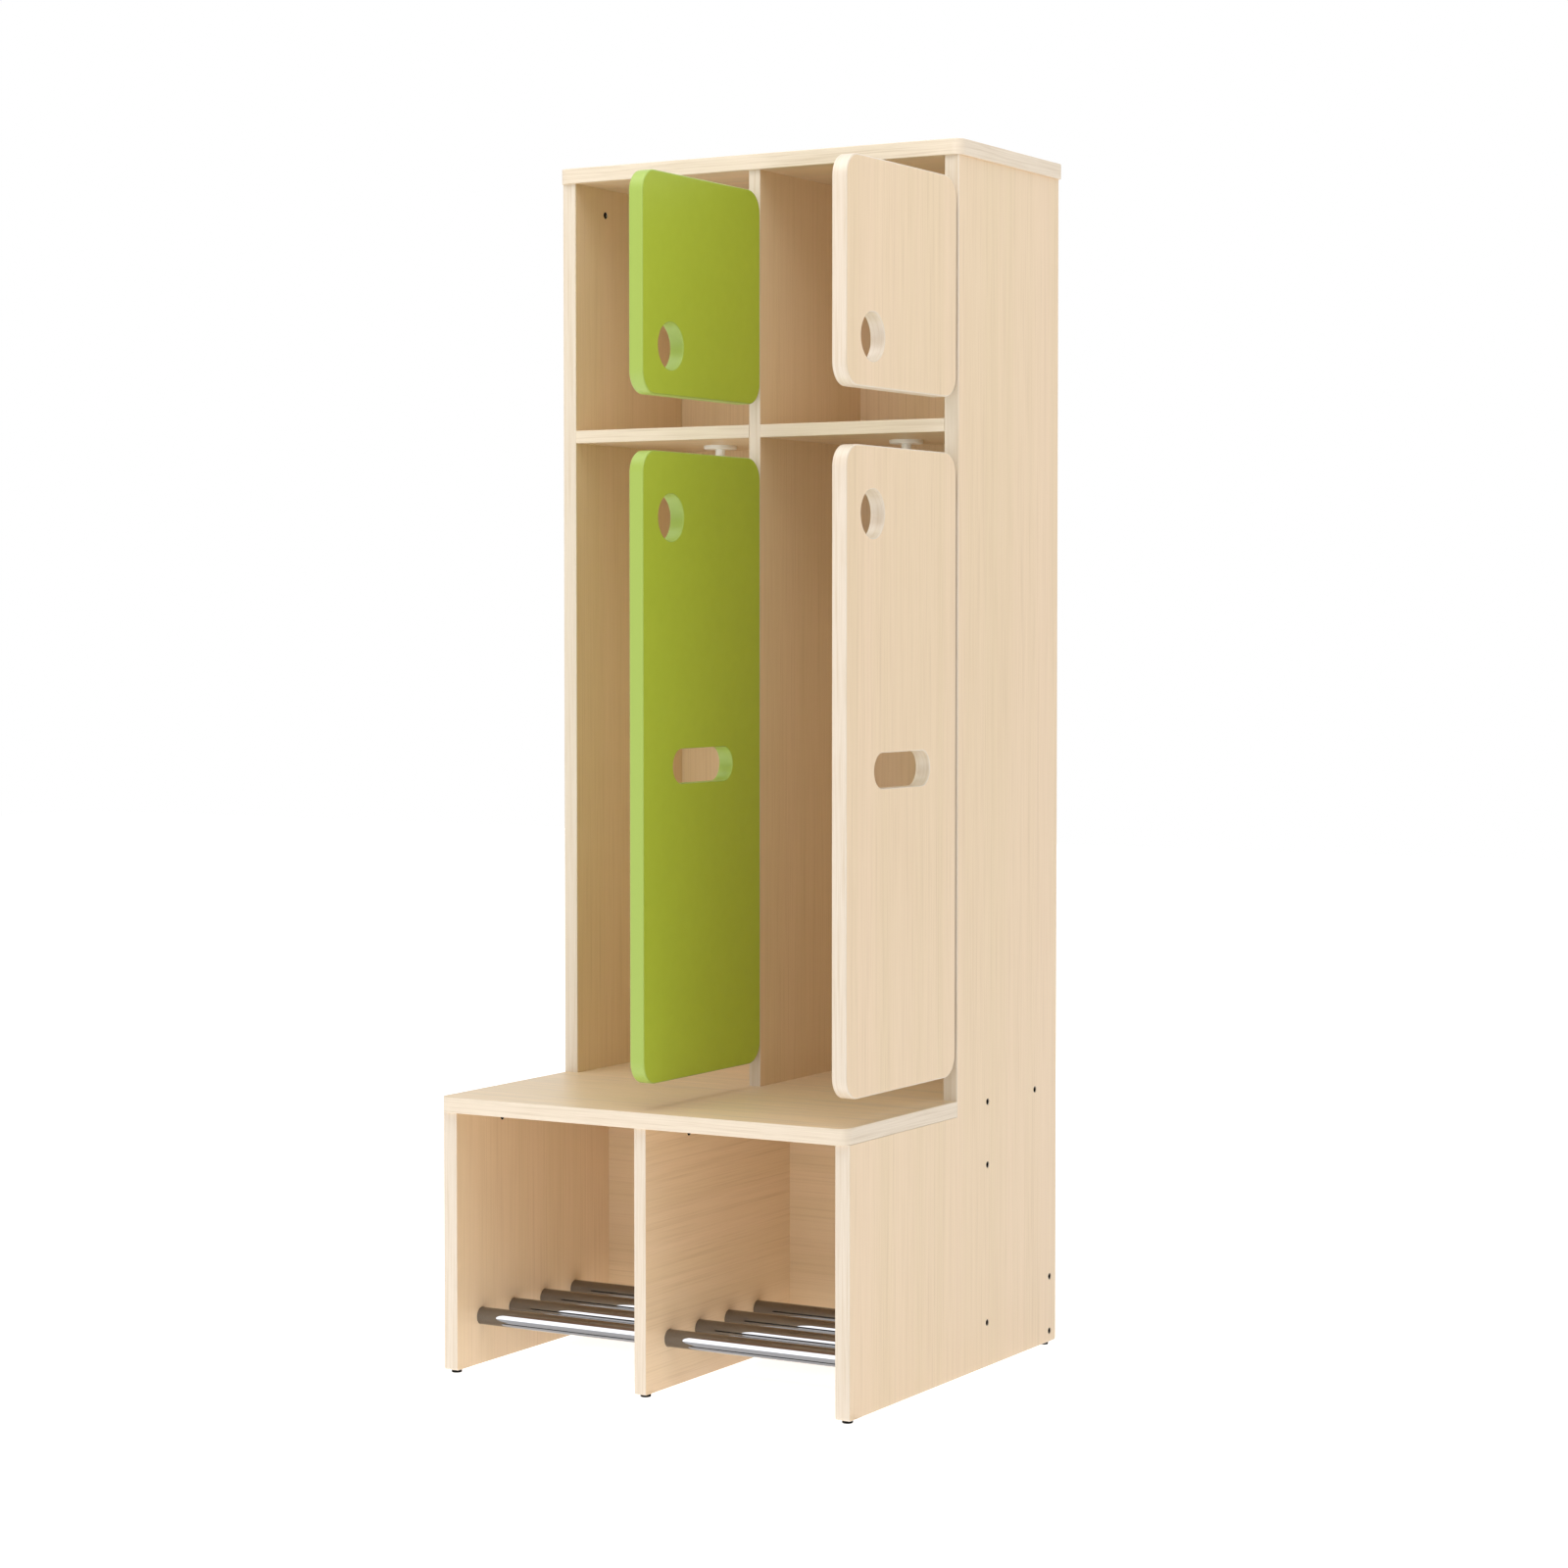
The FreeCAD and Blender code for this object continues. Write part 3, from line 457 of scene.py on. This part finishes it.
soft_box = soft_lamp("streak_box", STREAK_PLACE, STREAK_WIDTH, STREAK_POWER, STREAK_PLACE + Vector((0, 1, 0)))
soft_box.data.shape = "RECTANGLE"
soft_box.data.size_y = STREAK_HEIGHT
tubes = bpy.data.collections.new("chrome_tubes")
for name, slot in slot_of.items():
    if slot == "chrome_tube":
        tubes.objects.link(nodes[name])
soft_box.light_linking.receiver_collection = tubes
for name, (front, back, colour) in PAINTED_REFLECTION_CARDS.items():
    mesh = bpy.data.meshes.new(name)
    corners = [(CARD_LEFT, *front), (CARD_RIGHT, *front), (CARD_RIGHT, *back), (CARD_LEFT, *back)]
    mesh.from_pydata(corners, [], [(0, 1, 2, 3)])
    card = bpy.data.objects.new(name, mesh)
    scene.collection.objects.link(card)
    card.data.materials.append(new_material(name, colour, CARD_ROUGHNESS)[0])
    card.visible_camera = False
    card.visible_diffuse = False
    card.visible_shadow = False
    card.visible_transmission = False

# %% [markdown]
# ## Hinge screws
# CAD gives the small hinge screws as plain discs on pins. A real one has a domed pan head with a cross recess.
# One head is built ring by ring: a lathe gives the dome and the pin, and the cross is cut by filling the flat
# crown between its rim and the cross outline, then sinking that outline. Geometry Nodes then sets a copy on
# every seat, and turns each by a different amount, because no two screws stop at the same angle.

# %% Screw pattern
HEAD_STEPS = 32
DOME = ((1.0, 0.0), (1.0, 0.35), (0.93, 0.66), (0.80, 0.88), (0.62, 1.0))
CROSS_REACH, CROSS_HALF = 0.46, 0.13
CROSS_FLOOR, CROSS_TAPER = 0.35, 0.7
PIN_TIP, POINT_LENGTH = 0.12, 2


def lathe(mesh, profile):
    rings = []
    for radius, z in profile:
        turns = [2 * math.pi * i / HEAD_STEPS for i in range(HEAD_STEPS)]
        rings.append([mesh.verts.new((radius * math.cos(a), radius * math.sin(a), z)) for a in turns])
    for low, high in zip(rings, rings[1:]):
        for i in range(HEAD_STEPS):
            j = (i + 1) % HEAD_STEPS
            mesh.faces.new((low[i], low[j], high[j], high[i]))
    return rings


def cross_ring(mesh, reach, half, z):
    corner = ((reach, -half), (reach, half), (half, half))
    places = []
    for quarter in range(4):
        c, s = round(math.cos(quarter * math.pi / 2)), round(math.sin(quarter * math.pi / 2))
        places += [(x * c - y * s, x * s + y * c, z) for x, y in corner]
    return [mesh.verts.new(p) for p in places]


def ring_edges(mesh, ring):
    edges = []
    for a, b in zip(ring, ring[1:] + ring[:1]):
        edges.append(mesh.edges.get((a, b)) or mesh.edges.new((a, b)))
    return edges


def screw_pattern(name, head_radius, head_height, pin_radius, pin_length):
    mesh = bmesh.new()
    pin = [(pin_radius * PIN_TIP, -pin_length),
           (pin_radius, -pin_length + POINT_LENGTH * pin_radius), (pin_radius, 0.0)]
    rings = lathe(mesh, pin + [(r * head_radius, z * head_height) for r, z in DOME])
    mesh.faces.new(list(reversed(rings[0])))
    reach, half = CROSS_REACH * head_radius, CROSS_HALF * head_radius
    rim = cross_ring(mesh, reach, half, head_height)
    foot = cross_ring(mesh, reach * CROSS_TAPER, half * CROSS_TAPER, CROSS_FLOOR * head_height)
    bmesh.ops.triangle_fill(mesh, use_beauty=True, edges=ring_edges(mesh, rings[-1]) + ring_edges(mesh, rim))
    for i in range(len(rim)):
        j = (i + 1) % len(rim)
        mesh.faces.new((rim[i], rim[j], foot[j], foot[i]))
    mesh.faces.new(foot)
    bmesh.ops.recalc_face_normals(mesh, faces=mesh.faces)
    data = bpy.data.meshes.new(name)
    mesh.to_mesh(data)
    mesh.free()
    pattern = bpy.data.objects.new(name, data)
    scene.collection.objects.link(pattern)
    return pattern


print("screw pattern ready, ring of", HEAD_STEPS)

# %% Screw setting tree
def setting_tree():
    tree = bpy.data.node_groups.new("set_screws", "GeometryNodeTree")
    for label, kind in (("Seats", "Geometry"), ("Screw", "Object"), ("Finish", "Material"), ("Seed", "Int")):
        tree.interface.new_socket(name=label, in_out="INPUT", socket_type="NodeSocket" + kind)
    tree.interface.new_socket(name="Screws", in_out="OUTPUT", socket_type="NodeSocketGeometry")
    inside = tree.nodes.new("NodeGroupInput")
    outside = tree.nodes.new("NodeGroupOutput")
    screw = add_node(tree, "GeometryNodeObjectInfo", {"Object": inside.outputs["Screw"]})
    copies = add_node(tree, "GeometryNodeInstanceOnPoints",
                      {"Points": inside.outputs["Seats"], "Instance": screw.outputs["Geometry"],
                       "Rotation": (0, -math.pi / 2, 0)})
    turn = add_node(tree, "FunctionNodeRandomValue", {"Seed": inside.outputs["Seed"]}, data_type="FLOAT_VECTOR")
    turn.inputs[0].default_value = (0, 0, 0)
    turn.inputs[1].default_value = (0, 0, math.pi / 2)
    turned = add_node(tree, "GeometryNodeRotateInstances",
                      {"Instances": copies.outputs[0], "Rotation": turn.outputs[0], "Local Space": True})
    real = add_node(tree, "GeometryNodeRealizeInstances", {"Geometry": turned.outputs[0]})
    done = add_node(tree, "GeometryNodeSetMaterial",
                    {"Geometry": real.outputs[0], "Material": inside.outputs["Finish"]})
    tree.links.new(done.outputs[0], outside.inputs["Screws"])
    return tree


set_screws = setting_tree()
print("tree", set_screws.name, [item.name for item in set_screws.interface.items_tree])

# %% [markdown]
# ## Where the screws sit
# The seats come from the CAD nodes themselves. Each node holds several separate screws, so its mesh is walked
# from point to neighbouring point, and every island gives one box. A screw's seat is where its head ends and
# its pin begins, and the head's size comes from the same box.

# %% Set the screws
CUP_HEAD, CUP_PIN = 1.2 * MM, 1.8 * MM
PLATE_HEAD, PLATE_PIN = 1.6 * MM, 2.4 * MM
MERGE_WITHIN = 0.01 * MM
SHARP_FROM = math.radians(35)


def island_boxes(node):
    mesh = bmesh.new()
    mesh.from_mesh(node.data)
    bmesh.ops.remove_doubles(mesh, verts=mesh.verts, dist=MERGE_WITHIN)
    left = set(mesh.verts)
    boxes = []
    while left:
        front = [left.pop()]
        places = []
        while front:
            vert = front.pop()
            places.append(vert.co.copy())
            near = {edge.other_vert(vert) for edge in vert.link_edges} & left
            left -= near
            front += near
        boxes.append([Vector(f(p[i] for p in places) for i in range(3)) for f in (min, max)])
    mesh.free()
    return sorted(boxes, key=lambda b: b[0].z)


def set_screws_on(name, body, cad_names, head_height, pin_radius, seed):
    boxes = [b for cad_name in cad_names for b in island_boxes(nodes[cad_name])]
    seats = [Vector((low.x + head_height, (low.y + high.y) / 2, (low.z + high.z) / 2)) for low, high in boxes]
    low, high = boxes[0]
    pin_length = high.x - low.x - head_height
    pattern = screw_pattern(name + "_pattern", (high.z - low.z) / 2, head_height, pin_radius, pin_length)
    points = bpy.data.meshes.new(name + "_seats")
    points.from_pydata(seats, [], [])
    holder = bpy.data.objects.new(name + "_seats", points)
    scene.collection.objects.link(holder)
    modifier = holder.modifiers.new("set_screws", "NODES")
    modifier.node_group = set_screws
    values = {"Screw": pattern, "Finish": finishes["nickel_steel"], "Seed": seed}
    for item in set_screws.interface.items_tree:
        if item.name in values:
            modifier[item.identifier] = values[item.name]
    holder.update_tag()
    ready = holder.evaluated_get(bpy.context.evaluated_depsgraph_get())
    data = bpy.data.meshes.new_from_object(ready)
    holder.modifiers.remove(modifier)
    bpy.data.objects.remove(holder)
    bpy.data.objects.remove(pattern)
    data.name = name
    data.shade_smooth()
    data.set_sharp_from_angle(angle=SHARP_FROM)
    piece = bpy.data.objects.new(name, data)
    scene.collection.objects.link(piece)
    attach(piece, body)
    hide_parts(*cad_names)
    print(name, "screws:", len(seats), "triangles:", sum(len(p.vertices) - 2 for p in data.polygons))


DOORS = ("upper_left", "lower_left", "upper_right", "lower_right")
for seed, door in enumerate(DOORS):
    set_screws_on(door + "_cross_screws", door + "_door", [door + "_cup_screws"], CUP_HEAD, CUP_PIN, seed)
set_screws_on("plate_cross_screws", "carcass", [door + "_plate_screws" for door in DOORS],
              PLATE_HEAD, PLATE_PIN, len(DOORS))
